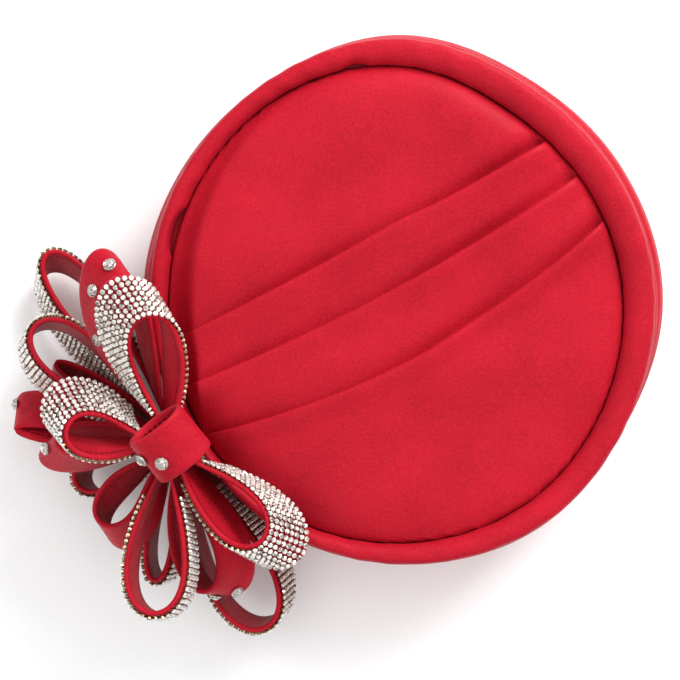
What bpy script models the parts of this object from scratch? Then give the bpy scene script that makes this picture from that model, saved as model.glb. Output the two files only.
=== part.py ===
"""A red satin turban: a pleated tip inside a padded roll, draped wraps round a flared side band, and a
bow of ribbon loops at the left front. Metres, +Z up, standing on its side band, with the origin on the
floor at the middle of the whole outline. The wearer faces -Y.
"""

import math

import bmesh
import bpy
from mathutils import Matrix, Vector

MM = 0.001
UP = Vector((0, 0, 1))

# Clearance between pieces that are sewn together, and between the wraps and the side band
GAP = 0.3 * MM
WRAP_EASE = 0.6 * MM

# The hat's outer form
OUTLINE_RADIUS = 130 * MM
HAT_HEIGHT = 78 * MM
ROLL_HEIGHT = 15 * MM
ROLL_WIDTH = 14 * MM
DIP_DEPTH = 11 * MM
DIP_SPREAD = math.radians(42)

# The head opening is an oval, longer from front to back
HEAD_LENGTH = 194 * MM
HEAD_WIDTH = 176 * MM
BAND_WALL = 2.5 * MM
FLANGE_DEPTH = 7 * MM

# The tip
TIP_WALL = 2.6 * MM
TIP_SINK = 6 * MM
TIP_FLATNESS = 6
PLEAT_HEADING = math.radians(28.5)
PLEAT_RISE = 1.7 * MM
PLEAT_FALL = 1.3 * MM

# The bow
BOW_HEADING = math.radians(212)
STEM_RADIUS = 7 * MM
STEM_BOTTOM = 19 * MM
STEM_TOP = 97 * MM
LOOP_REACH = 100 * MM
RIBBON_WIDTH = 25 * MM
RIBBON_THICKNESS = 2.6 * MM
ROOT_WIDTH = 12 * MM
ROOT_THICKNESS = 1.0 * MM
ROOT_SLOT = 0.5 * MM
CRYSTAL_HEIGHT = 2.2 * MM
CRYSTAL_WIDTH = 23.2 * MM
KNOT_WIDTH = 25 * MM
KNOT_SPAN = 28 * MM
KNOT_RISE = 19 * MM
KNOT_HEADING = math.radians(128)
KNOT_TILT = math.radians(16)
KNOT_INSET = 3 * MM
STUD_RADIUS = 3.2 * MM
STUD_HEIGHT = 2.2 * MM

# How finely the round forms are faceted
RIM_STEPS = 48
TIP_COLUMNS = 12
LOOP_STATIONS = 37
KNOT_STATIONS = 22

# The rim every 30 degrees: the whole outline and the crease between tip and roll, both as shares of
# OUTLINE_RADIUS, and the roll's width as a share of ROLL_WIDTH.
RIM_STEP_DEGREES = 30
RIM = (
    # angle, outline, crease, roll
    (0, 1.018, 0.841, 1.12),
    (30, 1.002, 0.822, 1.14),
    (60, 0.994, 0.822, 1.12),
    (90, 1.026, 0.882, 0.98),
    (120, 0.988, 0.889, 0.72),
    (150, 0.980, 0.878, 0.70),
    (180, 0.988, 0.876, 0.66),
    (210, 0.955, 0.900, 0.40),
    (240, 1.000, 0.922, 0.54),
    (270, 1.016, 0.916, 0.76),
    (300, 1.031, 0.905, 0.94),
    (330, 0.998, 0.867, 1.00),
)

# The lines that cross the tip beside the pleats, from the back edge to the front edge. Offset is where a
# line meets the rim and bulge how far it bows towards the front, both as shares of the tip's radius.
# Relief is its height as a share of PLEAT_RISE (above) or PLEAT_FALL (below).
TIP_LINES = (
    # offset, bulge, relief
    (-1.000, 0.000, 0.0),
    (-0.985, 0.000, 0.0),
    (-0.940, 0.000, 0.0),
    (-0.860, 0.000, 0.0),
    (-0.720, 0.005, 0.0),
    (-0.540, 0.010, 0.0),
    (-0.380, 0.015, -0.4),
    (-0.306, 0.020, -1.0),
    (-0.292, 0.020, 1.0),
    (-0.260, 0.025, 0.9),
    (-0.180, 0.045, 0.0),
    (-0.117, 0.060, -1.0),
    (-0.103, 0.060, 1.0),
    (-0.070, 0.070, 0.9),
    (0.010, 0.100, 0.0),
    (0.093, 0.130, -1.0),
    (0.107, 0.130, 1.0),
    (0.150, 0.125, 0.8),
    (0.280, 0.110, 0.3),
    (0.460, 0.075, 0.0),
    (0.640, 0.045, 0.0),
    (0.800, 0.020, 0.0),
    (0.910, 0.005, 0.0),
    (0.975, 0.000, 0.0),
    (1.000, 0.000, 0.0),
)

# The draped wraps: top and bottom as shares of the height under the roll, and how far each stands out, as
# a share of the way from the side band to the outline.
WRAPS = (
    # name, bottom, top, reach
    ("wrap_upper", 0.47, 1.00, 1.00),
    ("wrap_lower", 0.04, 0.46, 0.86),
)

# A wrap's outer face from its bottom edge up: height and reach as shares.
WRAP_FACE = (
    # height, reach
    (0.02, 0.30),
    (0.16, 0.86),
    (0.42, 1.00),
    (0.70, 0.90),
    (0.95, 0.50),
)

# The loops of the bow. Heading is the compass direction from the stem in degrees, tier is where the root
# sits up the stem as a share of its height, length is the plan distance to the far end, rise the height
# gained there, belly the width of the opening and curl how far the middle swings to the left, all as
# shares of LOOP_REACH. Lean tips the top of the band sideways, by twist less on its first limb and as much
# more on its second, and rake slides its lower edge out, all in degrees.
LOOPS = (
    # name, heading, tier, length, rise, belly, curl, lean, twist, rake, crystals
    ("loop_a", 102, 0.91, 0.65, 0.20, 0.26, 0, 42, 22, 52, True),
    ("loop_b", 108, 0.65, 0.83, 0.18, 0.22, 0.06, 24, 8, 38, False),
    ("loop_c", 127, 0.02, 1.05, -0.02, 0.24, 0, 22, 12, -12, True),
    ("loop_d", 143, 0.40, 0.83, -0.06, 0.28, 0, 20, 10, 11, True),
    ("loop_e", 164.5, 0.84, 0.48, 0.08, 0.23, 0, -30, 17, 28, True),
    ("loop_f", 170.5, 0.19, 0.74, 0, 0.085, 0, -42, 8, 8, False),
    ("loop_g", 183, 0.53, 0.54, 0, 0.15, 0, 24, 0, 28, False),
    ("loop_h", 205, 0.13, 0.46, -0.06, 0.18, 0, 10, 0, 0, True),
    ("loop_i", 235, 0.47, 0.49, -0.04, 0.20, 0, 22, 0, 24, False),
    ("loop_j", 266, 0.84, 0.75, 0, 0.27, 0, 8, 0, 8, True),
    ("loop_k", 263, 0.13, 0.64, 0, 0.13, 0, 4, 0, 0, True),
    ("loop_l", 288, 0.47, 0.71, 0, 0.23, 0, 26, 14, 18, False),
    ("loop_m", 318, 0.84, 0.66, 0.12, 0.26, 0, 18, 14, 42, True),
    ("loop_n", 297, 0.13, 0.97, -0.02, 0.33, 0, 15, 6, 0, True),
    ("loop_p", 152, 0.03, 0.65, -0.01, 0.08, 0, 28, 0, 0, False),
)

# The large crystals: the band each is set on, how far round the loop it sits (0 and 1 at the root, 0.5 at
# the far end) and how far across the band, as a share of its width.
STUDS = (
    # band, along, across
    ("loop_b", 0.50, 0.0),
    ("loop_b", 0.62, 0.0),
    ("loop_b", 0.74, 0.0),
    ("loop_f", 0.50, -0.25),
    ("loop_g", 0.50, 0.0),
    ("loop_l", 0.53, -0.25),
    ("loop_l", 0.45, -0.1),
    ("loop_p", 0.42, 0.0),
    ("loop_p", 0.56, 0.0),
    ("bow_knot", 0.34, -0.1),
    ("bow_knot", 0.455, 0.12),
)

SATIN_RED = (0.60, 0.012, 0.030, 1)
CRYSTAL_WHITE = (0.80, 0.80, 0.78, 1)
SILVER = (0.75, 0.75, 0.74, 1)


def clear_scene():
    for old in list(bpy.data.objects):
        bpy.data.objects.remove(old)


def material(name, colour, roughness, metallic=0.0):
    made = bpy.data.materials.new(name)
    made.use_nodes = True
    shader = made.node_tree.nodes["Principled BSDF"]
    shader.inputs["Base Color"].default_value = colour
    shader.inputs["Roughness"].default_value = roughness
    shader.inputs["Metallic"].default_value = metallic
    return made


def mix(a, b, share):
    return a + (b - a) * share


def ease(share):
    """0 to 1, level at both ends."""
    share = min(max(share, 0.0), 1.0)
    return share * share * (3 - 2 * share)


def finish(name, bm, finish_material, round_angle=35):
    """An object from a closed bmesh, its faces turned outwards and shaded smooth."""
    bmesh.ops.remove_doubles(bm, verts=bm.verts, dist=GAP / 100)
    bmesh.ops.recalc_face_normals(bm, faces=bm.faces)
    mesh = bpy.data.meshes.new(name)
    bm.to_mesh(mesh)
    bm.free()
    mesh.shade_smooth()
    mesh.set_sharp_from_angle(angle=math.radians(round_angle))
    mesh.materials.append(finish_material)
    made = bpy.data.objects.new(name, mesh)
    bpy.context.scene.collection.objects.link(made)
    return made


def loft(sections, closed=False, capped=True):
    """A bmesh skinned over sections that have the same number of points. A closed loft joins its last
    section to its first, and a capped one has a face over each end. Every face is cut in two along the
    same diagonal on both sides of a band, so that a twisted band and the one on it lie parallel."""
    bm = bmesh.new()
    rings = [[bm.verts.new(point) for point in section] for section in sections]
    pairs = list(zip(rings, rings[1:]))
    if closed:
        pairs.append((rings[-1], rings[0]))
    for ring, following in pairs:
        for i in range(len(ring)):
            j = (i + 1) % len(ring)
            if i < len(ring) // 2:
                bm.faces.new((ring[i], ring[j], following[j]))
                bm.faces.new((ring[i], following[j], following[i]))
            else:
                bm.faces.new((ring[i], ring[j], following[i]))
                bm.faces.new((ring[j], following[j], following[i]))
    if capped and not closed:
        bm.faces.new(rings[0])
        bm.faces.new(reversed(rings[-1]))
    return bm


def rim_value(angle, column):
    """A column of RIM at any angle, through its rows on a smooth closed curve."""
    place = math.degrees(angle) % 360 / RIM_STEP_DEGREES
    row = int(place)
    t = place - row
    before, here, after, beyond = (RIM[(row + k) % len(RIM)][column] for k in (-1, 0, 1, 2))
    slope_here = (after - before) / 2
    slope_after = (beyond - here) / 2
    bend = 3 * (after - here) - 2 * slope_here - slope_after
    turn = 2 * (here - after) + slope_here + slope_after
    return here + t * (slope_here + t * (bend + t * turn))


def outline_radius(angle):
    return OUTLINE_RADIUS * rim_value(angle, 1)


def crease_radius(angle):
    return OUTLINE_RADIUS * rim_value(angle, 2)


def roll_half_width(angle):
    return ROLL_WIDTH * rim_value(angle, 3) / 2


def roll_radius(angle):
    """From the middle of the hat to the middle of the roll, which is also the edge of the tip."""
    return crease_radius(angle) + roll_half_width(angle)


def head_radius(angle):
    """The inner face of the side band at the floor."""
    return math.hypot(HEAD_WIDTH / 2 * math.cos(angle), HEAD_LENGTH / 2 * math.sin(angle))


def dip(angle):
    """How far the top of the hat is pulled down beside the bow."""
    away = (angle - BOW_HEADING + math.pi) % (2 * math.pi) - math.pi
    return DIP_DEPTH * math.exp(-((away / DIP_SPREAD) ** 2))


def roll_bottom(angle):
    return HAT_HEIGHT - ROLL_HEIGHT - dip(angle)


def tip_edge_top(angle):
    return roll_bottom(angle) - GAP


def shoulder_top(angle):
    """The turned-in top edge of the side band, which the tip lies on."""
    return tip_edge_top(angle) - TIP_WALL - GAP


def band_radius(angle, height):
    """The outer face of the side band, which is straight from the floor to the shoulder."""
    share = height / shoulder_top(angle)
    return mix(head_radius(angle) + BAND_WALL, roll_radius(angle), share)


def around(angle, radius, height):
    return Vector((radius * math.cos(angle), radius * math.sin(angle), height))


def rim_angles():
    return [2 * math.pi * i / RIM_STEPS for i in range(RIM_STEPS)]


def make_side_band(finish_material):
    """The flared wall round the head, turned in at the top as a seam allowance is."""

    def section(angle):
        top = shoulder_top(angle)
        outer = band_radius(angle, top)
        under = top - BAND_WALL
        return [
            around(angle, head_radius(angle), 0),
            around(angle, head_radius(angle) + BAND_WALL, 0),
            around(angle, outer, top),
            around(angle, outer - FLANGE_DEPTH, top),
            around(angle, outer - FLANGE_DEPTH, under),
            around(angle, band_radius(angle, under) - BAND_WALL, under),
        ]

    bm = loft([section(angle) for angle in rim_angles()], closed=True)
    return finish("side_band", bm, finish_material)


def make_wrap(name, bottom, top, reach, finish_material):
    """A draped fold of satin round the side band, fuller below than above."""

    def section(angle):
        low, high = (roll_bottom(angle) * share for share in (bottom, top))
        low, high = low + GAP, high - GAP
        points = [
            around(angle, band_radius(angle, high) + WRAP_EASE, high),
            around(angle, band_radius(angle, low) + WRAP_EASE, low),
        ]
        for height_share, reach_share in WRAP_FACE:
            height = mix(low, high, height_share)
            inner = band_radius(angle, height) + WRAP_EASE
            outer = mix(inner, outline_radius(angle), reach)
            points.append(around(angle, mix(inner, outer, reach_share), height))
        return points

    bm = loft([section(angle) for angle in rim_angles()], closed=True)
    return finish(name, bm, finish_material)


def make_rolled_brim(finish_material):
    """The padded roll that hides the seam between the tip and the side."""
    sides = 10

    def section(angle):
        half_width, half_height = roll_half_width(angle), ROLL_HEIGHT / 2
        turns = [2 * math.pi * (i + 0.5) / sides for i in range(sides)]
        middle = roll_bottom(angle) + half_height
        radius = roll_radius(angle)
        return [
            around(angle, radius + half_width * math.cos(t), middle + half_height * math.sin(t))
            for t in turns
        ]

    bm = loft([section(angle) for angle in rim_angles()], closed=True)
    return finish("rolled_brim", bm, finish_material)


def tip_height(angle, share):
    """The plain crown of the tip, without its pleats: level in the middle, falling to the crease, then
    level again under the roll."""
    middle = HAT_HEIGHT - TIP_SINK
    to_crease = min(share * roll_radius(angle) / crease_radius(angle), 1)
    return mix(middle, tip_edge_top(angle), to_crease**TIP_FLATNESS)


def make_tip(finish_material):
    """The satin top. Its pleats are folded in the cloth's upper face, and its underside is plain."""

    def place(across, offset, bulge, relief):
        half_chord = math.sqrt(max(0.0, 1 - offset * offset))
        along, beside = across * half_chord, -offset - bulge * (1 - across * across)
        share = min(math.hypot(along, beside), 1.0)
        angle = math.atan2(beside, along) + PLEAT_HEADING
        fade = 1 - ease((share - 0.94) / 0.06)
        sharpness = mix(0.7, 1.0, (across + 1) / 2)
        size = PLEAT_RISE if relief > 0 else PLEAT_FALL
        lift = relief * size * sharpness * fade
        radius = share * roll_radius(angle)
        top = around(angle, radius, tip_height(angle, share) + lift)
        under = around(angle, radius, tip_height(angle, share) - TIP_WALL)
        return top, under

    across_stations = [math.sin(math.pi * (i / TIP_COLUMNS - 0.5)) for i in range(TIP_COLUMNS + 1)]
    sections = []
    for offset, bulge, relief in TIP_LINES:
        pairs = [place(across, offset, bulge, relief) for across in across_stations]
        sections.append([top for top, under in pairs] + [under for top, under in reversed(pairs)])
    bm = loft(sections, capped=False)
    return finish("tip", bm, finish_material)


def stem_axis():
    """The middle of the stem, which stands against the roll and the wraps."""
    touching = max(outline_radius(BOW_HEADING), roll_radius(BOW_HEADING) + roll_half_width(BOW_HEADING))
    return around(BOW_HEADING, touching + GAP + STEM_RADIUS, 0)


def make_stem(finish_material):
    sides = 16
    turns = [2 * math.pi * i / sides for i in range(sides)]
    axis = stem_axis()
    sections = [
        [axis + around(BOW_HEADING + t, STEM_RADIUS, height) for t in turns]
        for height in (STEM_BOTTOM, STEM_TOP)
    ]
    return finish("bow_stem", loft(sections), finish_material)


class Loop:
    """One loop of band: a teardrop that leaves the stem upright, then rises, leans and rakes."""

    # The teardrop's shape: how blunt its end is, how slender its root, and the peak of its own formula
    BLUNTNESS = 1.5
    SLENDERNESS = 0.8
    PEAK = 0.80
    # The shares of the length in which the band opens to its full width and thickness, and turns
    OPENING = 0.45
    TURNING = 0.7
    TURN_START = 0.2
    RISE_POWER = 1.6

    def __init__(self, heading, tier, length, rise, belly, curl, lean, twist, rake):
        turn = math.radians(heading)
        self.out = Vector((math.cos(turn), math.sin(turn), 0))
        self.side = Vector((-math.sin(turn), math.cos(turn), 0))
        root = stem_axis() + self.out * (STEM_RADIUS + GAP)
        self.root = root + UP * mix(STEM_BOTTOM, STEM_TOP, tier)
        self.length = length * LOOP_REACH
        self.rise = rise * LOOP_REACH
        self.belly = belly * LOOP_REACH
        self.curl = curl * LOOP_REACH
        self.lean = math.radians(lean)
        self.twist = math.radians(twist)
        self.rake = math.tan(math.radians(rake))

    def reach(self, along):
        """How far out the band is, as a share of the length, at a share of the way round."""
        return max(0.0, math.sin(math.pi * along)) ** self.BLUNTNESS

    def thickness(self, along):
        return mix(ROOT_THICKNESS, RIBBON_THICKNESS, ease(self.reach(along) / self.OPENING))

    def width(self, along):
        return mix(ROOT_WIDTH, RIBBON_WIDTH, ease(self.reach(along) / self.OPENING))

    def across(self, along):
        """The direction across the band, at a share of the way round."""
        reach = self.reach(along)
        slope = self.RISE_POWER * self.rise / self.length * reach ** (self.RISE_POWER - 1)
        forward = (self.out + UP * slope).normalized()
        above = forward.cross(self.side)
        turned = ease((reach - self.TURN_START) / self.TURNING)
        lean = (self.lean - self.twist * math.cos(math.pi * along)) * turned
        across = above * math.cos(lean) - self.side * math.sin(lean) - forward * self.rake * turned
        return across.normalized()

    def middle(self, along):
        """The middle of the band, at a share of the way round the teardrop."""
        reach = self.reach(along)
        turn = 2 * math.pi * along
        swell = math.sin(turn) * max(0.0, math.sin(turn / 2)) ** self.SLENDERNESS / self.PEAK
        clear = (ROOT_THICKNESS + ROOT_SLOT) / 2
        beside = -swell * self.belly / 2 + math.copysign(clear, along - 0.5) * (1 - ease(reach))
        beside += self.curl * math.sin(math.pi * reach)
        rise = UP * self.rise * reach**self.RISE_POWER
        return self.root + self.out * self.length * reach + rise + self.side * beside

    def frame(self, along):
        """The band's middle, its direction across and its outward face, at a share of the way round."""
        step = 0.002
        before, after = max(along - step, 0.0), min(along + step, 1.0)
        forward = (self.middle(after) - self.middle(before)).normalized()
        across = self.across(along)
        return self.middle(along), across, forward.cross(across).normalized()

    def evenly(self, count):
        """Shares of the way round that lie evenly along the band."""
        fine = [i / 400 for i in range(401)]
        points = [self.middle(along) for along in fine]
        run = [0.0]
        for before, after in zip(points, points[1:]):
            run.append(run[-1] + (after - before).length)
        wanted = [run[-1] * i / (count - 1) for i in range(count)]
        found, k = [], 0
        for target in wanted:
            while k < len(run) - 2 and run[k + 1] < target:
                k += 1
            found.append(mix(fine[k], fine[k + 1], (target - run[k]) / (run[k + 1] - run[k])))
        return found

    def section(self, along, width, inner, outer):
        middle, across, outward = self.frame(along)
        half = across * width / 2
        return [
            middle + half + outward * outer,
            middle - half + outward * outer,
            middle - half + outward * inner,
            middle + half + outward * inner,
        ]


class Knot:
    """The ring of band over the middle of the bow, which stands on the stem."""

    def __init__(self):
        self.out = around(KNOT_HEADING - math.pi / 2, 1, 0)
        self.level = around(KNOT_HEADING, 1, 0)
        self.across = self.level * math.cos(KNOT_TILT) + UP * math.sin(KNOT_TILT)
        self.up = UP * math.cos(KNOT_TILT) - self.level * math.sin(KNOT_TILT)
        clear = (KNOT_RISE + RIBBON_THICKNESS) / 2 * math.cos(KNOT_TILT)
        clear += (STEM_RADIUS + KNOT_INSET) * math.sin(KNOT_TILT) + GAP
        foot = stem_axis() - around(BOW_HEADING, KNOT_INSET, 0)
        self.centre = foot + UP * (STEM_TOP + clear)

    def thickness(self, along):
        return RIBBON_THICKNESS

    def width(self, along):
        return KNOT_WIDTH

    def frame(self, along):
        turn = 2 * math.pi * along
        level, lift = math.cos(turn), math.sin(turn)
        middle = self.centre + self.out * KNOT_SPAN / 2 * level + self.up * KNOT_RISE / 2 * lift
        outward = (self.out * level / KNOT_SPAN + self.up * lift / KNOT_RISE).normalized()
        return middle, self.across, outward

    def section(self, along, width, inner, outer):
        return Loop.section(self, along, width, inner, outer)


def make_loop(name, loop, finish_material):
    sections = []
    for along in loop.evenly(LOOP_STATIONS):
        half = loop.thickness(along) / 2
        sections.append(loop.section(along, loop.width(along), -half, half))
    return finish(name, loft(sections), finish_material)


def make_crystals(name, loop, finish_material):
    """The crystal banding on the outer face, which stops short of the root."""
    start = 0.30
    stations = [along for along in loop.evenly(LOOP_STATIONS) if loop.reach(along) > start]
    sections = []
    for along in stations:
        inner = loop.thickness(along) / 2 + GAP
        width = loop.width(along) * CRYSTAL_WIDTH / RIBBON_WIDTH
        sections.append(loop.section(along, width, inner, inner + CRYSTAL_HEIGHT))
    return finish(name, loft(sections), finish_material)


def make_knot(knot, finish_material):
    half = RIBBON_THICKNESS / 2
    stations = [i / KNOT_STATIONS for i in range(KNOT_STATIONS)]
    sections = [knot.section(along, KNOT_WIDTH, -half, half) for along in stations]
    return finish("bow_knot", loft(sections, closed=True), finish_material)


def make_stud(name, band, along, across_share, finish_material):
    """A cut crystal in a silver rim, fused, with a table and two rows of eight facets."""
    sides = 8
    middle, across, outward = band.frame(along)
    face = band.thickness(along) / 2 + GAP
    base = middle + across * across_share * band.width(along) + outward * face
    turned = Matrix.Translation(base) @ outward.to_track_quat("Z", "Y").to_matrix().to_4x4()
    # Radius and height as shares of the stud's own, from the foot to the table, with a half-facet turn
    levels = ((1.0, 0.0, 0), (1.0, 0.35, 0), (0.86, 0.42, 0), (0.70, 0.78, 1), (0.42, 1.0, 0))
    sections = []
    for radius, height, turn in levels:
        ring = []
        for i in range(sides):
            angle = 2 * math.pi * (i + turn / 2) / sides
            ring.append(turned @ around(angle, radius * STUD_RADIUS, height * STUD_HEIGHT))
        sections.append(ring)
    return finish(name, loft(sections), finish_material, round_angle=1)


def stand_on_origin(pieces):
    """Moves the whole hat so that the middle of its outline is over the origin."""
    bpy.context.view_layer.update()
    corners = [piece.matrix_world @ Vector(corner) for piece in pieces for corner in piece.bound_box]
    shift = Vector((0, 0, 0))
    for axis in (0, 1):
        values = [corner[axis] for corner in corners]
        shift[axis] = -(min(values) + max(values)) / 2
    hat = bpy.data.objects.new("turban", None)
    bpy.context.scene.collection.objects.link(hat)
    hat.location = shift
    for piece in pieces:
        piece.parent = hat


def make_turban():
    clear_scene()
    satin = material("red satin", SATIN_RED, 0.45)
    crystal = material("crystal banding", CRYSTAL_WHITE, 0.15, metallic=0.3)
    silver = material("silver and crystal", SILVER, 0.12, metallic=0.8)

    pieces = [make_side_band(satin), make_rolled_brim(satin), make_tip(satin), make_stem(satin)]
    for name, bottom, top, reach in WRAPS:
        pieces.append(make_wrap(name, bottom, top, reach, satin))

    bands = {"bow_knot": Knot()}
    pieces.append(make_knot(bands["bow_knot"], satin))
    for name, *shape, has_crystals in LOOPS:
        loop = Loop(*shape)
        bands[name] = loop
        pieces.append(make_loop(name, loop, satin))
        if has_crystals:
            pieces.append(make_crystals(name.replace("loop", "crystals"), loop, crystal))
    for number, (band_name, along, across) in enumerate(STUDS, start=1):
        pieces.append(make_stud(f"stud_{number:02d}", bands[band_name], along, across, silver))
    stand_on_origin(pieces)


make_turban()
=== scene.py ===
"""A red satin turban with a pleated tip, a padded roll, draped wraps and a bow of ribbon loops, seen from
straight above. Metres, +Z up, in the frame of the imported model.
"""

import math

import bmesh
import bpy
import numpy as np
from mathutils import Matrix, Vector


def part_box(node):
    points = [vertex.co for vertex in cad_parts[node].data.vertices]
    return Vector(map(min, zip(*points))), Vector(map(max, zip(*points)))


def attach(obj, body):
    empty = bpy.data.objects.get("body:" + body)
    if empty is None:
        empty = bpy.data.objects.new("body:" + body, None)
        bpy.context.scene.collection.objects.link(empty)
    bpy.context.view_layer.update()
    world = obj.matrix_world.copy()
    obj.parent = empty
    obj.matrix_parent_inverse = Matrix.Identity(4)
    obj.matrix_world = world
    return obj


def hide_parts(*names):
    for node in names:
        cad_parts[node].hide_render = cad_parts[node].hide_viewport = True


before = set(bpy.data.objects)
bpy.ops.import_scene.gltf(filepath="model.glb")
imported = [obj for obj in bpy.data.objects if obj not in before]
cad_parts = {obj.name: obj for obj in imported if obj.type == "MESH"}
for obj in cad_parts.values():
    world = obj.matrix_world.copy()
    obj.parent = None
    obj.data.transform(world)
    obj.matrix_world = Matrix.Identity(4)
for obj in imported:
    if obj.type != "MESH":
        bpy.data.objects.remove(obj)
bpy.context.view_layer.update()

# Camera, floor and light
# The photograph looks straight down on the hat. The floor is a white paper sweep, and the light is a large
# softbox towards the upper right of the picture in a white room, so that the shadows are pale and soft.
MM = 0.001
UP = Vector((0, 0, 1))
BOW_HEADING = math.radians(212)
STEM_RADIUS = 7 * MM
OUTLINE_AT_BOW = 132.23 * MM
GAP = 0.3 * MM

stem_low, stem_high = (Vector(corner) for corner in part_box("bow_stem"))
stem_axis = (stem_low + stem_high) / 2
stem_axis.z = 0


def around(angle, radius, height=0.0):
    return Vector((radius * math.cos(angle), radius * math.sin(angle), height))


hat_middle = stem_axis - around(BOW_HEADING, OUTLINE_AT_BOW)

CAMERA_HEIGHT = 1170 * MM
CAMERA_OFFSET = Vector((-29.4, -19.6, 0)) * MM
VIEW_WIDTH = 354.4 * MM

camera_data = bpy.data.cameras.new("camera")
camera_data.sensor_width = 36
camera_data.lens = 36 * CAMERA_HEIGHT / VIEW_WIDTH
camera_data.clip_start = 0.05
camera = bpy.data.objects.new("camera", camera_data)
camera.location = hat_middle + CAMERA_OFFSET + UP * CAMERA_HEIGHT
bpy.context.scene.collection.objects.link(camera)
bpy.context.scene.camera = camera
bpy.context.scene.view_settings.view_transform = "Standard"


def linear(hex_colour):
    """A colour in linear light from its sRGB hex value."""
    levels = (int(hex_colour[i : i + 2], 16) / 255 for i in (1, 3, 5))
    return (*(v / 12.92 if v <= 0.04045 else ((v + 0.055) / 1.055) ** 2.4 for v in levels), 1.0)


def add_node(tree, kind, inputs=None, **settings):
    """A new node with its settings. An input is a value, or another node's output to link."""
    made = tree.nodes.new(kind)
    for name, value in settings.items():
        setattr(made, name, value)
    for socket, value in (inputs or {}).items():
        if isinstance(value, bpy.types.NodeSocket):
            tree.links.new(value, made.inputs[socket])
        else:
            made.inputs[socket].default_value = value
    return made


def new_material(name, **shader_inputs):
    """A material with its tree and its Principled shader, whose constant values are given by name."""
    made = bpy.data.materials.new(name)
    made.use_nodes = True
    shader = made.node_tree.nodes["Principled BSDF"]
    for socket, value in shader_inputs.items():
        shader.inputs[socket.replace("_", " ")].default_value = value
    return made, made.node_tree, shader


# Matt coated paper: nearly white, with a grain of about 2 mm that is only just there
paper, tree, shader = new_material("matt coated paper", Roughness=0.9)
place = add_node(tree, "ShaderNodeTexCoord")
grain = add_node(tree, "ShaderNodeTexNoise", {"Vector": place.outputs["Object"], "Scale": 500, "Detail": 2})
tone = add_node(tree, "ShaderNodeValToRGB", {"Fac": grain.outputs["Fac"]})
tone.color_ramp.elements[0].color = linear("#f6f6f7")
tone.color_ramp.elements[1].color = linear("#fcfcfc")
tree.links.new(tone.outputs["Color"], shader.inputs["Base Color"])

bm = bmesh.new()
bmesh.ops.create_grid(bm, x_segments=2, y_segments=2, size=3.0)
floor_mesh = bpy.data.meshes.new("floor")
bm.to_mesh(floor_mesh)
bm.free()
floor_mesh.materials.append(paper)
floor = bpy.data.objects.new("floor", floor_mesh)
bpy.context.scene.collection.objects.link(floor)

world = bpy.data.worlds.new("white room")
world.use_nodes = True
world.node_tree.nodes["Background"].inputs["Color"].default_value = (1.0, 1.0, 1.0, 1)
world.node_tree.nodes["Background"].inputs["Strength"].default_value = 0.78
bpy.context.scene.world = world

for name, place, size, power in (
    ("softbox", (0.75, 1.05, 1.00), 0.9, 31.0),
    ("ceiling_panel", (-0.3, -0.2, 1.6), 2.0, 10.0),
):
    light_data = bpy.data.lights.new(name, "AREA")
    light_data.shape = "SQUARE"
    light_data.size = size
    light_data.energy = power
    light = bpy.data.objects.new(name, light_data)
    light.location = place
    light.rotation_euler = (-Vector(place)).to_track_quat("-Z", "Y").to_euler()
    bpy.context.scene.collection.objects.link(light)


# Side band
# The wall round the head: buckram covered with duchess satin, turned in at the top where the tip is sewn
# to it. Only its lowest few millimetres show, under the wraps.
OUTLINE_RADIUS = 130 * MM
HAT_HEIGHT = 78 * MM
ROLL_HEIGHT = 15 * MM
ROLL_WIDTH = 14 * MM
DIP_DEPTH = 11 * MM
DIP_SPREAD = math.radians(42)
HEAD_LENGTH = 194 * MM
HEAD_WIDTH = 176 * MM
BAND_WALL = 2.5 * MM
FLANGE_DEPTH = 7 * MM
TIP_WALL = 2.6 * MM

# The rim every 30 degrees: outline and crease as shares of OUTLINE_RADIUS, roll as a share of ROLL_WIDTH
RIM_STEP_DEGREES = 30
RIM = (
    # angle, outline, crease, roll
    (0, 1.018, 0.841, 1.12),
    (30, 1.002, 0.822, 1.14),
    (60, 0.994, 0.822, 1.12),
    (90, 1.026, 0.882, 0.98),
    (120, 0.988, 0.889, 0.72),
    (150, 0.980, 0.878, 0.70),
    (180, 0.988, 0.876, 0.66),
    (210, 0.955, 0.900, 0.40),
    (240, 1.000, 0.922, 0.54),
    (270, 1.016, 0.916, 0.76),
    (300, 1.031, 0.905, 0.94),
    (330, 0.998, 0.867, 1.00),
)


def mix(a, b, share):
    return a + (b - a) * share


def ease(share):
    """0 to 1, level at both ends."""
    share = min(max(share, 0.0), 1.0)
    return share * share * (3 - 2 * share)


def smooth_between(before, here, after, beyond, t):
    """From here to after on a smooth curve through all four."""
    slope_here = (after - before) / 2
    slope_after = (beyond - here) / 2
    bend = 3 * (after - here) - 2 * slope_here - slope_after
    turn = 2 * (here - after) + slope_here + slope_after
    return here + t * (slope_here + t * (bend + t * turn))


def rim_value(angle, column):
    place = math.degrees(angle) % 360 / RIM_STEP_DEGREES
    row = int(place)
    return smooth_between(*(RIM[(row + k) % len(RIM)][column] for k in (-1, 0, 1, 2)), place - row)


def outline_radius(angle):
    return OUTLINE_RADIUS * rim_value(angle, 1)


def crease_radius(angle):
    return OUTLINE_RADIUS * rim_value(angle, 2)


def roll_half_width(angle):
    return ROLL_WIDTH * rim_value(angle, 3) / 2


def roll_radius(angle):
    return crease_radius(angle) + roll_half_width(angle)


def head_radius(angle):
    return math.hypot(HEAD_WIDTH / 2 * math.cos(angle), HEAD_LENGTH / 2 * math.sin(angle))


def roll_bottom(angle):
    away = (angle - BOW_HEADING + math.pi) % (2 * math.pi) - math.pi
    return HAT_HEIGHT - ROLL_HEIGHT - DIP_DEPTH * math.exp(-((away / DIP_SPREAD) ** 2))


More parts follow.
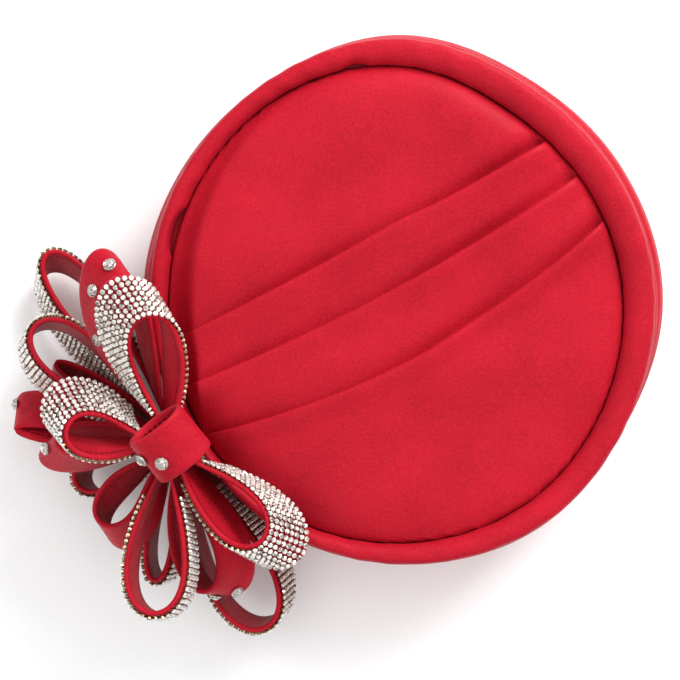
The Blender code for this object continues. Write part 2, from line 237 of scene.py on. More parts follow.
def tip_edge_top(angle):
    return roll_bottom(angle) - GAP


def shoulder_top(angle):
    return tip_edge_top(angle) - TIP_WALL - GAP


def band_radius(angle, height):
    """The outer face of the side band."""
    return mix(head_radius(angle) + BAND_WALL, roll_radius(angle), height / shoulder_top(angle))


# Duchess satin, polyester: a close warp-faced weave with a soft broad shine, a little slack, and slubs
# that run with the warp. The real threads are 0.1 mm apart, so the slubs are drawn ten times as coarse.
SATIN_RED = "#b41829"
SATIN_DEEP = "#951120"
SLUB_LENGTH = 14 * MM
SLUB_WIDTH = 1.1 * MM
WEAVE = 1.3 * MM


def satin(name, slack_size, slack_depth, by_uv=False):
    made, tree, shader = new_material(
        name,
        Roughness=0.46,
        Specular_IOR_Level=0.26,
        Specular_Tint=linear("#ff8a94"),
        Sheen_Weight=0.05,
        Sheen_Roughness=0.40,
        Sheen_Tint=linear("#ff5a70"),
    )
    place = add_node(tree, "ShaderNodeTexCoord")
    where = place.outputs["UV" if by_uv else "Object"]
    stretched = add_node(
        tree,
        "ShaderNodeMapping",
        {
            "Vector": where,
            "Scale": (1 / SLUB_LENGTH, 1 / SLUB_WIDTH, 1 / SLUB_WIDTH),
        },
    )
    slubs = add_node(tree, "ShaderNodeTexNoise", {"Vector": stretched.outputs[0], "Scale": 1, "Detail": 3})
    slack = add_node(
        tree, "ShaderNodeTexNoise", {"Vector": place.outputs["Object"], "Scale": 1 / slack_size, "Detail": 2}
    )
    weave = add_node(
        tree, "ShaderNodeTexNoise", {"Vector": place.outputs["Object"], "Scale": 1 / WEAVE, "Detail": 3, "Roughness": 0.7}
    )
    tone = add_node(
        tree,
        "ShaderNodeMath",
        {0: weave.outputs["Fac"], 1: 2.0, 2: slack.outputs["Fac"]},
        operation="MULTIPLY_ADD",
    )
    tone = add_node(tree, "ShaderNodeMath", {0: tone.outputs[0], 1: 3.0}, operation="DIVIDE")
    ramp = add_node(tree, "ShaderNodeValToRGB", {"Fac": tone.outputs[0]})
    ramp.color_ramp.elements[0].position = 0.35
    ramp.color_ramp.elements[0].color = linear(SATIN_DEEP)
    ramp.color_ramp.elements[1].position = 0.65
    ramp.color_ramp.elements[1].color = linear(SATIN_RED)
    tree.links.new(ramp.outputs["Color"], shader.inputs["Base Color"])
    low = add_node(tree, "ShaderNodeBump", {"Height": slack.outputs["Fac"], "Distance": slack_depth, "Strength": 0.6})
    low = add_node(
        tree,
        "ShaderNodeBump",
        {"Height": weave.outputs["Fac"], "Distance": 0.00016, "Strength": 0.6, "Normal": low.outputs[0]},
    )
    fine = add_node(
        tree,
        "ShaderNodeBump",
        {"Height": slubs.outputs["Fac"], "Distance": 0.00006, "Strength": 0.5, "Normal": low.outputs[0]},
    )
    tree.links.new(fine.outputs[0], shader.inputs["Normal"])
    return made, tree, shader, fine


draped_satin = satin("duchess satin polyester", 30 * MM, 0.6 * MM)[0]


def finish_piece(name, bm, finishes, nodes, levels=0):
    """An object from a bmesh, placed on the hat, shaded smooth, riding on the root and replacing nodes."""
    bmesh.ops.remove_doubles(bm, verts=bm.verts, dist=0.005 * MM)
    bmesh.ops.recalc_face_normals(bm, faces=bm.faces)
    bmesh.ops.translate(bm, verts=bm.verts, vec=hat_middle)
    mesh = bpy.data.meshes.new(name)
    bm.to_mesh(mesh)
    bm.free()
    mesh.shade_smooth()
    for finish in finishes:
        mesh.materials.append(finish)
    made = bpy.data.objects.new(name, mesh)
    bpy.context.scene.collection.objects.link(made)
    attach(made, "root")
    if nodes:
        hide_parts(*nodes)
    return made


# The wall's section, from the head outwards: the steps outwards from its inner face, and the height as a
# share of the shoulder's. It is spun into a plain ring, and each point then goes to its real place.
bm = bmesh.new()
SPUN_RADIUS = 100 * MM
wall = [(0, 0), (1, 0), (1, 1), (-3, 1), (-3, 0.96), (0, 0.96)]
corners = [bm.verts.new((SPUN_RADIUS + out * MM, 0, height)) for out, height in wall]
edges = [bm.edges.new((a, b)) for a, b in zip(corners, corners[1:] + corners[:1])]
bmesh.ops.spin(
    bm, geom=corners + edges, cent=(0, 0, 0), axis=UP, angle=2 * math.pi, steps=192, use_merge=True
)
for vert in bm.verts:
    angle = math.atan2(vert.co.y, vert.co.x)
    out = round((math.hypot(vert.co.x, vert.co.y) - SPUN_RADIUS) / MM)
    height = vert.co.z * shoulder_top(angle)
    if out == -3:
        vert.co = around(angle, roll_radius(angle) - FLANGE_DEPTH, height)
    else:
        vert.co = around(angle, band_radius(angle, height) - BAND_WALL * (1 - out), height)
sharp = [edge for edge in bm.edges if edge.calc_face_angle(0) > math.radians(40)]
bmesh.ops.bevel(
    bm, geom=sharp, offset=0.6 * MM, segments=2, profile=0.5, affect="EDGES", material=-1, clamp_overlap=True
)
finish_piece("side_wall", bm, [draped_satin], ["side_band"])


# Wraps
# Two bias strips of satin draped round the side band, one above the other. Each is tucked in along both
# edges and lies in soft folds that run round the hat and wander up and down.
WRAP_EASE = 0.6 * MM
CLOTH = 0.5 * MM
FOLD_DEPTH = 3.4 * MM

# The outer face from the top edge down: height and reach as shares of the wrap's own
WRAP_FACE = (
    (1.00, 0.05),
    (0.985, 0.30),
    (0.93, 0.60),
    (0.80, 0.86),
    (0.62, 0.97),
    (0.42, 1.00),
    (0.24, 0.93),
    (0.10, 0.74),
    (0.02, 0.40),
    (0.00, 0.08),
)
# Each crease: its height share, how far it wanders, how many times round, where it starts, how deep
CREASES = (
    (0.80, 0.06, 2, 0.4, 0.7),
    (0.60, 0.09, 1, 2.0, 1.0),
    (0.42, 0.07, 3, 4.1, 0.8),
    (0.25, 0.08, 2, 1.2, 1.0),
    (0.12, 0.04, 1, 5.0, 0.6),
)


def bent_grid(columns, rows, place):
    """A bmesh grid whose corners lie at place(u, v), with u and v from 0 to 1, kept as its UV too."""
    bm = bmesh.new()
    bm.loops.layers.uv.new("cloth")
    bmesh.ops.create_grid(bm, x_segments=columns, y_segments=rows, size=0.5, calc_uvs=True)
    for vert in bm.verts:
        vert.co = place(vert.co.x + 0.5, vert.co.y + 0.5)
    return bm


def along_points(points, share):
    """A spot on the smooth curve through points, with share from 0 to 1."""
    spot = min(max(share, 0.0), 1.0) * (len(points) - 1)
    row = min(int(spot), len(points) - 2)
    near = [points[min(max(row + k, 0), len(points) - 1)] for k in (-1, 0, 1, 2)]
    return [smooth_between(*values, spot - row) for values in zip(*near)]


def make_wrap(name, node, bottom, top, reach, phase):
    def place(u, v):
        angle = 2 * math.pi * u
        low, high = roll_bottom(angle) * bottom + GAP, roll_bottom(angle) * top - GAP
        height_share, reach_share = along_points(WRAP_FACE, v)
        height = mix(low, high, height_share)
        inner = band_radius(angle, height) + WRAP_EASE
        radius = mix(inner, mix(inner, outline_radius(angle), reach), reach_share)
        crease = 0.0
        for middle, swing, turns, start, depth in CREASES:
            at = middle + swing * math.sin(turns * angle + start + phase)
            strength = depth * (0.62 + 0.38 * math.sin((turns + 1) * angle + 2 * start + phase))
            crease += strength * math.exp(-abs(height_share - at) / 0.040)
        radius -= FOLD_DEPTH * crease * ease(reach_share / 0.8)
        return around(angle, max(radius, inner), height)

    bm = bent_grid(300, 60, place)
    made = finish_piece(name, bm, [draped_satin], [node])
    cloth = made.modifiers.new("cloth", "SOLIDIFY")
    cloth.thickness = CLOTH
    cloth.offset = -1
    return made


make_wrap("upper_wrap", "wrap_upper", 0.47, 1.00, 1.00, 0.0)
make_wrap("lower_wrap", "wrap_lower", 0.04, 0.46, 0.86, 2.4)


# Tip
# The top of the hat: one piece of satin with three knife pleats that fan out from the bow, laid over a
# buckram oval and sewn down all round under the roll.
TIP_SINK = 4.8 * MM
# Towards the back the tip lies nearly flush with the roll
BACK_RISE = 2.8 * MM
BACK_HEADING = math.radians(95)
FRONT_FLATNESS = 10
BACK_FLATNESS = 22
TIP_TUCK = 0.9 * MM
ROLL_SQUARENESS = 0.86
# From the back round to the bow, the tip turns down over a soft edge well inside the roll. At its widest,
# that slope starts at this share of the crease's radius.
SLOPE_START = 0.885
PLEAT_HEADING = math.radians(28.5)
PLEAT_RISE = 2.4 * MM
PLEAT_FALL = 5.6 * MM
TIP_SLACK = 1.0 * MM

# Where each pleat meets the rim, and how far it bows to the front, as shares of the tip's radius
PLEATS = ((-0.30, 0.02), (-0.11, 0.06), (0.10, 0.13))
# The cloth across a pleat, as shares: offset, and height over PLEAT_RISE or under PLEAT_FALL. It tucks
# under the folded edge, comes back to the nose of the fold and lies on top of it.
PLEAT_PROFILE = (
    (-0.095, -0.02),
    (-0.074, -0.10),
    (-0.055, -0.24),
    (-0.039, -0.44),
    (-0.026, -0.66),
    (-0.015, -0.85),
    (-0.006, -0.97),
    (0.001, -1.00),
    (0.004, -0.80),
    (0.003, -0.40),
    (-0.002, 0.10),
    (-0.004, 0.50),
    (-0.001, 0.80),
    (0.006, 0.97),
    (0.016, 1.00),
    (0.030, 0.86),
    (0.048, 0.60),
    (0.070, 0.28),
    (0.092, 0.02),
)
TIP_COLUMNS = 150


def tip_rows():
    """Every line of the cloth across the tip from back to front: offset and height share."""
    rows = []
    plain = [math.sin(math.pi * (i / 60 - 0.5)) for i in range(61)]
    for i, offset in enumerate(plain):
        if not any(pleat - 0.10 < offset < pleat + 0.10 for pleat, bulge in PLEATS):
            rows.append((offset, offset, 0.0))
    for pleat, bulge in PLEATS:
        start = PLEAT_PROFILE[0][0]
        for i, (shift, height) in enumerate(PLEAT_PROFILE):
            rows.append((pleat + start + i * 0.0104, pleat + shift, height))
    return [(offset, height) for order, offset, height in sorted(rows)]


def bulge_at(offset):
    """How far a line bows to the front, eased between the pleats and to none at both edges."""
    known = [(-1.0, 0.0), (-0.6, 0.008), *PLEATS, (0.46, 0.075), (0.75, 0.03), (1.0, 0.0)]
    for (a, first), (b, second) in zip(known, known[1:]):
        if offset <= b:
            return mix(first, second, ease((offset - a) / (b - a)))
    return 0.0


lines = tip_rows()


def tip_height(angle, share):
    to_crease = min(share * roll_radius(angle) / crease_radius(angle), 1)
    degrees = math.degrees(angle) % 360
    on_slope = ease((degrees - 101) / 75) * (1 - ease((degrees - 194) / 20))
    start = mix(0.97, SLOPE_START, on_slope)
    down = max(0.0, (to_crease - start) / (1 - start))
    slope = 1.25 * down * down / (down * down + 0.25)
    at_back = 0.5 + 0.5 * math.cos(angle - BACK_HEADING)
    edge = to_crease ** mix(FRONT_FLATNESS, BACK_FLATNESS, at_back)
    fall = mix(edge, slope, ease(on_slope / 0.5))
    middle = HAT_HEIGHT - TIP_SINK + BACK_RISE * at_back * ease(share)
    tucked = roll_bottom(angle) + ROLL_HEIGHT / 2 - TIP_TUCK
    # Past the crease the cloth follows the roll's underside, down to its seam
    under = min(max(0.0, (share * roll_radius(angle) - crease_radius(angle)) / roll_half_width(angle)), 1.0)
    seam = (1 - (1 - under) ** (2 / ROLL_SQUARENESS)) ** (ROLL_SQUARENESS / 2)
    return mix(mix(middle, tucked, fall), tip_edge_top(angle), seam)


def tip_place(u, v):
    across = math.sin(math.pi * (u - 0.5))
    offset, relief = lines[min(round(v * (len(lines) - 1)), len(lines) - 1)]
    half_chord = math.sqrt(max(0.0, 1 - offset * offset))
    along, beside = across * half_chord, -offset - bulge_at(offset) * (1 - across * across)
    share = min(math.hypot(along, beside), 1.0)
    angle = math.atan2(beside, along) + PLEAT_HEADING
    fade = 1 - ease((share * roll_radius(angle) / crease_radius(angle) - 0.965) / 0.05)
    uneven = 0.82 + 0.25 * math.sin(6 * along + 9 * offset)
    lift = relief * (PLEAT_RISE if relief > 0 else PLEAT_FALL * uneven) * mix(0.5, 1.0, (across + 1) / 2)
    lift += TIP_SLACK * math.sin(8 * along + 5 * beside) * math.sin(6 * beside - 3 * along + 0.6)
    return around(angle, share * roll_radius(angle), tip_height(angle, share) + lift * fade)


bm = bent_grid(TIP_COLUMNS, len(lines) - 1, tip_place)
tip = finish_piece("pleated_tip", bm, [draped_satin], ["tip"])
cloth = tip.modifiers.new("cloth", "SOLIDIFY")
cloth.thickness = CLOTH
cloth.offset = -1


# Roll
# A bias tube of satin over a cotton cord filling, sewn over the seam between the tip and the wraps. The
# bias pulls it into faint slanting ripples.
RIPPLE = 0.16 * MM
ROLL_SKEW = 1.8 * MM
# Where the roll stands off the tip: heading and spread in degrees, and how far
POCKETS = ((163, 6.5, 3.2 * MM), (101, 3.5, 1.8 * MM))


def roll_place(u, v):
    angle, turn = 2 * math.pi * u, 2 * math.pi * v
    ripple = math.sin(46 * angle + 2.2 * turn + 2 * math.sin(3 * angle)) * math.sin(5 * angle + 1.0)
    swell = RIPPLE * ripple + 0.15 * MM * math.sin(7 * angle + turn) - 0.3 * MM
    half_width, half_height = roll_half_width(angle) + swell, ROLL_HEIGHT / 2 + swell - 0.5 * MM
    out, up = (math.copysign(abs(side) ** ROLL_SQUARENESS, side) for side in (math.cos(turn), math.sin(turn)))
    for middle, spread, depth in POCKETS:
        away = (math.degrees(angle) - middle) / spread
        half_width -= depth * max(0.0, 1 - away * away) * max(0.0, -out)
    radius = roll_radius(angle) + half_width * out + ROLL_SKEW * rim_value(angle, 3) * max(0.0, up) ** 2
    height = roll_bottom(angle) + ROLL_HEIGHT / 2 + half_height * up
    return around(angle, radius, height)


roll = finish_piece("padded_roll", bent_grid(480, 28, roll_place), [draped_satin], ["rolled_brim"])


# Bow stem
# The hidden core of the bow: the tails of all the loops, bound round with satin and sewn to the hat. It
# is gathered, so it has upright ridges.
stem_low.z, stem_high.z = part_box("bow_stem")[0][2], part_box("bow_stem")[1][2]
bm = bmesh.new()
bmesh.ops.create_cone(
    bm, cap_ends=True, segments=64, radius1=STEM_RADIUS, radius2=STEM_RADIUS, depth=stem_high.z - stem_low.z
)
walls = [edge for edge in bm.edges if abs(edge.verts[0].co.z - edge.verts[1].co.z) > 1 * MM]
bmesh.ops.subdivide_edges(bm, edges=walls, cuts=24, use_grid_fill=True)
for vert in bm.verts:
    angle = math.atan2(vert.co.y, vert.co.x)
    gather = 0.35 * MM * math.sin(13 * angle + 20 * vert.co.z / STEM_RADIUS * 0.05)
    vert.co -= around(angle, 0.35 * MM + gather * 0.9)
bmesh.ops.translate(bm, verts=bm.verts, vec=stem_axis - hat_middle + UP * (stem_low.z + stem_high.z) / 2)
stem = finish_piece("gathered_stem", bm, [draped_satin], ["bow_stem"])


# Loops
# Fifteen loops of one-inch band round the stem. Each band is satin folded over a stiff ribbon, so that its
# edges are round, and stitched down along the inner face.
STEM_BOTTOM = 19 * MM
STEM_TOP = 97 * MM
LOOP_REACH = 100 * MM
RIBBON_WIDTH = 25 * MM
RIBBON_THICKNESS = 2.6 * MM
ROOT_WIDTH = 22 * MM
ROOT_THICKNESS = 1.2 * MM
ROOT_SLOT = 0.5 * MM

LOOPS = (
    # name, heading, tier, length, rise, belly, curl, lean, twist, rake, crystals
    ("loop_a", 102, 0.91, 0.65, 0.20, 0.26, 0, 42, 22, 52, True),
    ("loop_b", 108, 0.65, 0.83, 0.18, 0.22, 0.06, 24, 8, 38, False),
    ("loop_c", 127, 0.02, 1.05, -0.02, 0.24, 0, 22, 12, -12, True),
    ("loop_d", 143, 0.40, 0.83, -0.06, 0.28, 0, 20, 10, 11, True),
    ("loop_e", 164.5, 0.84, 0.48, 0.08, 0.23, 0, -30, 17, 28, True),
    ("loop_f", 170.5, 0.19, 0.74, 0, 0.085, 0, -42, 8, 8, False),
    ("loop_g", 183, 0.53, 0.54, 0, 0.15, 0, 24, 0, 28, False),
    ("loop_h", 205, 0.13, 0.46, -0.06, 0.18, 0, 10, 0, 0, True),
    ("loop_i", 235, 0.47, 0.49, -0.04, 0.20, 0, 34, 8, 24, False),
    ("loop_j", 266, 0.84, 0.75, 0, 0.27, 0, 8, 0, 8, True),
    ("loop_k", 263, 0.13, 0.64, 0, 0.13, 0, 10, 4, 0, True),
    ("loop_l", 288, 0.47, 0.71, 0, 0.23, 0, 36, 18, 18, False),
    ("loop_m", 318, 0.84, 0.66, 0.12, 0.26, 0, 18, 14, 42, True),
    ("loop_n", 297, 0.13, 0.97, -0.02, 0.33, 0, 15, 6, 0, True),
    ("loop_p", 152, 0.03, 0.65, -0.01, 0.08, 0, 28, 0, 0, False),
)

stem_on_hat = stem_axis - hat_middle


class Loop:
    """The run of one loop of band: a teardrop that leaves the stem upright, then rises, leans and rakes."""

    def __init__(self, heading, tier, length, rise, belly, curl, lean, twist, rake):
        turn = math.radians(heading)
        self.out = around(turn, 1)
        self.side = around(turn + math.pi / 2, 1)
        self.root = stem_on_hat + self.out * (STEM_RADIUS + GAP) + UP * mix(STEM_BOTTOM, STEM_TOP, tier)
        self.length, self.rise, self.belly, self.curl = (
            share * LOOP_REACH for share in (length, rise, belly, curl)
        )
        self.lean = math.radians(lean)
        self.twist = math.radians(twist)
        self.rake = math.tan(math.radians(rake))

    def reach(self, along):
        return max(0.0, math.sin(math.pi * along)) ** 1.5

    def thickness(self, along):
        return mix(ROOT_THICKNESS, RIBBON_THICKNESS, ease(self.reach(along) / 0.45))

    def width(self, along):
        return mix(ROOT_WIDTH, RIBBON_WIDTH, ease(self.reach(along) / 0.45))

    def across(self, along):
        reach = self.reach(along)
        slope = 1.6 * self.rise / self.length * reach**0.6
        forward = (self.out + UP * slope).normalized()
        above = forward.cross(self.side)
        turned = ease((reach + 0.22) / 0.85)
        lean = (self.lean - self.twist * math.cos(math.pi * along)) * turned
        across = above * math.cos(lean) - self.side * math.sin(lean) - forward * self.rake * turned
        return across.normalized()

    def middle(self, along):
        reach = self.reach(along)
        turn = 2 * math.pi * along
        swell = math.sin(turn) * max(0.0, math.sin(turn / 2)) ** 0.8 / 0.80
        clear = (ROOT_THICKNESS + ROOT_SLOT) / 2
        beside = -swell * self.belly / 2 + math.copysign(clear, along - 0.5) * (1 - ease(reach))
        beside += self.curl * math.sin(math.pi * reach)
        return self.root + self.out * self.length * reach + UP * self.rise * reach**1.6 + self.side * beside

    def frame(self, along):
        """The band's middle, its direction across and its outward face, at a share of the way round."""
        before, after = max(along - 0.002, 0.0), min(along + 0.002, 1.0)
        forward = (self.middle(after) - self.middle(before)).normalized()
        across = self.across(along)
        return self.middle(along), across, forward.cross(across).normalized()

    def evenly(self, step, height=0.0, least_reach=0.0):
        """Shares of the way round that lie step apart along the band, at a height over its middle."""
        shares = [i / 1000 for i in range(1001) if self.reach(i / 1000) >= least_reach]
        points = []
        for along in shares:
            middle, across, outward = self.frame(along)
            points.append(middle + outward * height)
        run = np.concatenate([[0], np.cumsum([(b - a).length for a, b in zip(points, points[1:])])])
        count = max(2, round(run[-1] / step) + 1)
        return list(np.interp(np.linspace(0, run[-1], count), run, shares)), run[-1]


# Half the band's section from its folded edge to its middle: shares of half its width and half its
# thickness.
BAND_HALF = (
    (1.000, 0.00),
    (0.990, 0.38),
    (0.965, 0.70),
    (0.925, 0.90),
    (0.870, 0.98),
    (0.780, 1.00),
    (0.600, 0.97),
    (0.300, 0.93),
    (0.000, 0.92),
)
outer_face = list(BAND_HALF) + [(-across, height) for across, height in reversed(BAND_HALF[:-1])]
band_section = outer_face + [(across, -height) for across, height in reversed(outer_face[1:-1])]
band_section.append(band_section[0])

# Band satin: the same cloth, with the warp along the band by its UV map in metres, and stitches of 2.5 mm
STITCH_LINE = 0.70 * RIBBON_WIDTH / 2
INNER_FACE = 100 * MM
STITCH_PITCH = 2.8 * MM
STITCH_WIDTH = 0.60 * MM

band_satin, tree, shader, fine_bump = satin("band satin polyester", 12 * MM, 1.6 * MM, by_uv=True)
place = add_node(tree, "ShaderNodeTexCoord")
split = add_node(tree, "ShaderNodeSeparateXYZ", {0: place.outputs["UV"]})
side = add_node(tree, "ShaderNodeMath", {0: split.outputs["Y"], 1: INNER_FACE}, operation="SUBTRACT")
side = add_node(tree, "ShaderNodeMath", {0: side.outputs[0]}, operation="ABSOLUTE")
off_line = add_node(tree, "ShaderNodeMath", {0: side.outputs[0], 1: STITCH_LINE}, operation="SUBTRACT")
off_line = add_node(tree, "ShaderNodeMath", {0: off_line.outputs[0]}, operation="ABSOLUTE")
on_line = add_node(tree, "ShaderNodeMath", {0: off_line.outputs[0], 1: STITCH_WIDTH}, operation="LESS_THAN")
step = add_node(tree, "ShaderNodeMath", {0: split.outputs["X"], 1: STITCH_PITCH}, operation="DIVIDE")
step = add_node(tree, "ShaderNodeMath", {0: step.outputs[0]}, operation="FRACT")
in_stitch = add_node(tree, "ShaderNodeMath", {0: step.outputs[0], 1: 0.72}, operation="LESS_THAN")
stitch = add_node(tree, "ShaderNodeMath", {0: on_line.outputs[0], 1: in_stitch.outputs[0]}, operation="MULTIPLY")
cloth_colour = shader.inputs["Base Color"].links[0].from_socket
sewn = add_node(
    tree,
    "ShaderNodeMixRGB",
    {"Fac": stitch.outputs[0], "Color1": cloth_colour, "Color2": linear("#5a0810")},
)
tree.links.new(sewn.outputs[0], shader.inputs["Base Color"])
raised = add_node(
    tree,
    "ShaderNodeBump",
    {"Height": stitch.outputs[0], "Distance": 0.00025, "Strength": 0.8, "Normal": fine_bump.outputs[0]},
)
tree.links.new(raised.outputs[0], shader.inputs["Normal"])


def make_band(name, node, run, stations, length, closed=False):
    """Satin band along a run, whose section is band_section, with its UV map in metres along and across."""
    frames = [run.frame(along) for along in stations]
    sizes = [(run.width(along) / 2, run.thickness(along) / 2) for along in stations]
    last, around_it = len(stations) - 1, len(band_section) - 1

    def place(u, v):
        i = round(u * last)
        middle, across, outward = frames[i]
        half_width, half_thickness = sizes[i]
        a, b = band_section[round(v * around_it)]
        return middle + across * a * half_width + outward * b * half_thickness

    bm = bent_grid(last, around_it, place)
    uv = bm.loops.layers.uv["cloth"]
    for face in bm.faces:
        inner = sum(corner[uv].uv.y for corner in face.loops) / len(face.loops) > 0.5
        for corner in face.loops:
            u, v = corner[uv].uv
            across = band_section[round(v * around_it)][0] * RIBBON_WIDTH / 2
            corner[uv].uv = (u * length, across + (INNER_FACE if inner else 0))
    bmesh.ops.remove_doubles(bm, verts=bm.verts, dist=0.005 * MM)
    if not closed:
        bmesh.ops.holes_fill(bm, edges=[edge for edge in bm.edges if edge.is_boundary])
    made = finish_piece(name, bm, [band_satin], [node])
    return made


loops = {}
for name, *shape, has_crystals in LOOPS:
    loop = Loop(*shape)
    loops[name] = loop
    stations, length = loop.evenly(1.6 * MM)
    make_band("satin_" + name, name, loop, stations, length)


# Knot
# A ring of the same band over the middle of the bow, standing on the stem, open at both ends.
KNOT_WIDTH = 25 * MM
KNOT_SPAN = 28 * MM
KNOT_RISE = 19 * MM
KNOT_HEADING = math.radians(128)
KNOT_TILT = math.radians(16)
KNOT_INSET = 3 * MM


class Knot:
    """The run of the knot: an oval ring that leans towards the hat's crown."""

    def __init__(self):
        self.out = around(KNOT_HEADING - math.pi / 2, 1)
        self.level = around(KNOT_HEADING, 1)
        self.lying = self.level * math.cos(KNOT_TILT) + UP * math.sin(KNOT_TILT)
        self.up = UP * math.cos(KNOT_TILT) - self.level * math.sin(KNOT_TILT)
        clear = (KNOT_RISE + RIBBON_THICKNESS) / 2 * math.cos(KNOT_TILT)
        clear += (STEM_RADIUS + KNOT_INSET) * math.sin(KNOT_TILT) + GAP
        self.centre = stem_on_hat - around(BOW_HEADING, KNOT_INSET) + UP * (STEM_TOP + clear)

    def thickness(self, along):
        return RIBBON_THICKNESS

    def width(self, along):
        return KNOT_WIDTH

    def frame(self, along):
        level, lift = math.cos(2 * math.pi * along), math.sin(2 * math.pi * along)
        middle = self.centre + self.out * KNOT_SPAN / 2 * level + self.up * KNOT_RISE / 2 * lift
        outward = (self.out * level / KNOT_SPAN + self.up * lift / KNOT_RISE).normalized()
        return middle, self.lying, outward


knot = Knot()
loops["bow_knot"] = knot
knot_length = math.pi * (KNOT_SPAN + KNOT_RISE) / 2
make_band("satin_knot", "bow_knot", knot, [i / 72 for i in range(73)], knot_length, closed=True)


# Crystal banding
# Eight rows of 3 mm crystals in silver-plated brass cups on the outer face of nine loops. The cups are
# soldered to each other in strips and sewn on, and the red band shows between them.
ROWS = 8
CRYSTAL_PITCH = 2.95 * MM
CUP_BASE = 1.00 * MM
CUP_RIM = 1.37 * MM
CUP_HEIGHT = 1.00 * MM
TABLE = 0.86 * MM
CROWN_HEIGHT = 0.72 * MM
CRYSTAL_SEAT = RIBBON_THICKNESS / 2 + 0.25 * MM
CRYSTAL_START = 0.22

# Silver-plated brass: bright, with the brass showing warm where the thin plating is worn
cup_metal, tree, shader = new_material("silver-plated brass cup", Metallic=1.0, Roughness=0.28)
place = add_node(tree, "ShaderNodeTexCoord")
wear = add_node(tree, "ShaderNodeTexNoise", {"Vector": place.outputs["Object"], "Scale": 900, "Detail": 1})
plating = add_node(tree, "ShaderNodeValToRGB", {"Fac": wear.outputs["Fac"]})
plating.color_ramp.elements[0].position = 0.38
plating.color_ramp.elements[0].color = linear("#7d5c38")
plating.color_ramp.elements[1].position = 0.62
plating.color_ramp.elements[1].color = linear("#b59b78")
tree.links.new(plating.outputs["Color"], shader.inputs["Base Color"])

# Foil-backed crystal glass with painted glints: each face is painted lighter or darker at random, white to grey
crystal_glass, tree, shader = new_material("crystal glass", Metallic=0.35, Roughness=0.10, Coat_Weight=0.6)
painted_facet_glint = add_node(tree, "ShaderNodeAttribute", attribute_name="painted_facet_glint")
glint = add_node(tree, "ShaderNodeValToRGB", {"Fac": painted_facet_glint.outputs["Fac"]})
glint.color_ramp.elements[0].position = 0.02
glint.color_ramp.elements[0].color = linear("#6e665f")
glint.color_ramp.elements[1].position = 0.55
glint.color_ramp.elements[1].color = linear("#eeeae2")
tree.links.new(glint.outputs["Color"], shader.inputs["Base Color"])

bm = bmesh.new()
to_middle = Matrix.Translation((0, 0, CUP_HEIGHT / 2))
bmesh.ops.create_cone(
    bm, cap_ends=False, segments=8, radius1=CUP_BASE, radius2=CUP_RIM, depth=CUP_HEIGHT, matrix=to_middle
)
cup_faces = list(bm.faces)
to_middle = Matrix.Translation((0, 0, CUP_HEIGHT + CROWN_HEIGHT / 2))
bmesh.ops.create_cone(
    bm, cap_ends=True, segments=8, radius1=CUP_RIM, radius2=TABLE, depth=CROWN_HEIGHT, matrix=to_middle
)
under = [face for face in bm.faces if face not in cup_faces and face.calc_center_median().z < CUP_HEIGHT + 1e-6]
bmesh.ops.delete(bm, geom=under, context="FACES_ONLY")
for face in bm.faces:
    face.material_index = 0 if face in cup_faces else 1
bm.verts.index_update()
crystal_points = np.array([vert.co for vert in bm.verts])
crystal_faces = [[vert.index for vert in face.verts] for face in bm.faces]
crystal_finish = [face.material_index for face in bm.faces]
bm.free()


def make_crystals(name, node, loop, seed):
    """All the crystals of one loop in one mesh, from copies of one crystal's points."""
    stations, length = loop.evenly(CRYSTAL_PITCH, height=RIBBON_THICKNESS / 2, least_reach=CRYSTAL_START)
    rng = np.random.default_rng(seed)
    points, faces, finishes = [], [], []
    for along in stations[1:-1]:
        middle, across, outward = loop.frame(along)
        forward = across.cross(outward).normalized()
        outward = forward.cross(across).normalized()
        squeeze = loop.width(along) / RIBBON_WIDTH
        for row in range(ROWS):
            beside = (row - (ROWS - 1) / 2) * 2.9 * MM * squeeze
            seat = middle + across * beside + outward * (loop.thickness(along) / 2 + 0.25 * MM)
            turn = rng.uniform(-0.15, 0.15)
            u = (forward * math.cos(turn) + across * math.sin(turn)) * squeeze
            w = outward.cross(u)
            tilt = outward + forward * rng.uniform(-0.05, 0.05) + across * rng.uniform(-0.05, 0.05)
            turned = np.array([u, w, tilt.normalized()])
            first = len(points) * len(crystal_points)
            points.append(crystal_points @ turned + np.array(seat + hat_middle))
            faces += [[first + k for k in face] for face in crystal_faces]
            finishes += crystal_finish
    mesh = bpy.data.meshes.new(name)
    mesh.from_pydata(np.concatenate(points).tolist(), [], faces)
    mesh.materials.append(cup_metal)
    mesh.materials.append(crystal_glass)
    mesh.polygons.foreach_set("material_index", finishes)
    # Painted glints: a random value for each face, which the glass turns lighter or darker
    painted_facet_glint = mesh.attributes.new("painted_facet_glint", "FLOAT", "FACE")
    painted_facet_glint.data.foreach_set("value", rng.uniform(0, 1, len(faces)).astype(np.float32))
    mesh.update()
    made = bpy.data.objects.new(name, mesh)
    bpy.context.scene.collection.objects.link(made)
    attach(made, "root")
    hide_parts(node)
    return made


for seed, (name, *shape, has_crystals) in enumerate(LOOPS, start=1):
    if has_crystals:
        node = name.replace("loop", "crystals")
        make_crystals("banding_" + name[-1], node, loops[name], seed)


# Studs
# Large round crystals on the bare bands: a cut stone of 6 mm in a silver-plated rim, pressed through the
# satin. The stone has a flat table and two rows of eight facets.
STUD_RADIUS = 3.2 * MM
STUD_HEIGHT = 2.2 * MM
STUDS = (
    # band, along, across
    ("loop_b", 0.50, 0.0),
    ("loop_b", 0.62, 0.0),
    ("loop_b", 0.74, 0.0),
    ("loop_f", 0.50, -0.25),
    ("loop_g", 0.50, 0.0),
    ("loop_l", 0.53, -0.25),
    ("loop_l", 0.45, -0.1),
    ("loop_p", 0.42, 0.0),
    ("loop_p", 0.56, 0.0),
    ("bow_knot", 0.34, -0.1),
    ("bow_knot", 0.455, 0.12),
)
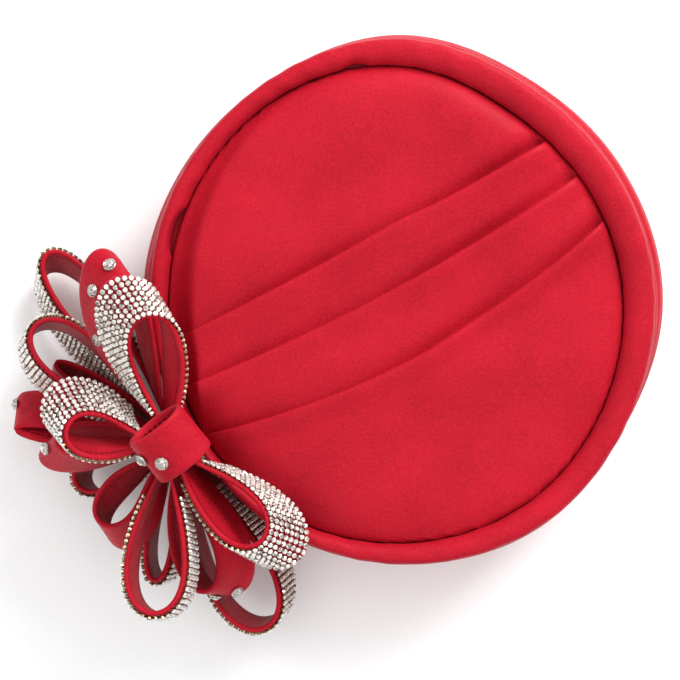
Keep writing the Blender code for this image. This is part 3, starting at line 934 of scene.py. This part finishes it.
# Polished silver plate: bright and cool, with faint scratches that only roughen it
rim_silver, tree, shader = new_material("polished silver plate", Metallic=1.0, Base_Color=linear("#dcdcde"))
place = add_node(tree, "ShaderNodeTexCoord")
scratch = add_node(tree, "ShaderNodeTexNoise", {"Vector": place.outputs["Object"], "Scale": 1500, "Detail": 2})
rough = add_node(tree, "ShaderNodeMapRange", {"Value": scratch.outputs["Fac"], "To Min": 0.10, "To Max": 0.26})
tree.links.new(rough.outputs[0], shader.inputs["Roughness"])


def make_stud(name, node, band, along, across_share, seed):
    middle, across, outward = band.frame(along)
    face = band.thickness(along) / 2 + GAP
    base = middle + across * across_share * band.width(along) + outward * face
    turned = Matrix.Translation(base) @ outward.to_track_quat("Z", "Y").to_matrix().to_4x4()
    bm = bmesh.new()
    # Rim: a ring spun from its section, from the foot up over the lip to the stone
    rim = [(1.0, 0.0), (1.0, 0.26), (0.97, 0.36), (0.91, 0.40), (0.85, 0.36), (0.82, 0.20)]
    corners = [bm.verts.new((radius * STUD_RADIUS, 0, height * STUD_HEIGHT)) for radius, height in rim]
    edges = [bm.edges.new(pair) for pair in zip(corners, corners[1:])]
    bmesh.ops.spin(
        bm, geom=corners + edges, cent=(0, 0, 0), axis=UP, angle=2 * math.pi, steps=32, use_merge=True
    )
    rim_faces = set(bm.faces)
    # Stone: rings of eight corners joined by facets, from the girdle to the table
    rings = []
    for radius, height, turn in ((0.86, 0.22, 0), (0.86, 0.36, 0), (0.68, 0.76, 0.5), (0.44, 1.0, 0)):
        angles = [2 * math.pi * (i + turn) / 8 for i in range(8)]
        rings.append([bm.verts.new(around(a, radius * STUD_RADIUS, height * STUD_HEIGHT)) for a in angles])
    for i in range(8):
        j = (i + 1) % 8
        bm.faces.new((rings[0][i], rings[0][j], rings[1][j], rings[1][i]))
        bm.faces.new((rings[1][i], rings[1][j], rings[2][i]))
        bm.faces.new((rings[1][j], rings[2][j], rings[2][i]))
        bm.faces.new((rings[2][i], rings[2][j], rings[3][j]))
        bm.faces.new((rings[2][i], rings[3][j], rings[3][i]))
    bm.faces.new(rings[3])
    # Painted reflections: each face of the stone is painted at random, mostly darker, for the dark reflections in it
    rng = np.random.default_rng(seed)
    shade = bm.faces.layers.float.new("painted_facet_glint")
    for face in bm.faces:
        face.material_index = 0 if face in rim_faces else 1
        face[shade] = rng.uniform(0, 0.5)
        face.smooth = face in rim_faces
    bmesh.ops.recalc_face_normals(bm, faces=bm.faces)
    bmesh.ops.transform(bm, matrix=Matrix.Translation(hat_middle) @ turned, verts=bm.verts)
    mesh = bpy.data.meshes.new(name)
    bm.to_mesh(mesh)
    bm.free()
    mesh.materials.append(rim_silver)
    mesh.materials.append(crystal_glass)
    made = bpy.data.objects.new(name, mesh)
    bpy.context.scene.collection.objects.link(made)
    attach(made, "root")
    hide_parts(node)


for number, (band_name, along, across) in enumerate(STUDS, start=1):
    make_stud(f"large_crystal_{number:02d}", f"stud_{number:02d}", loops[band_name], along, across, 50 + number)
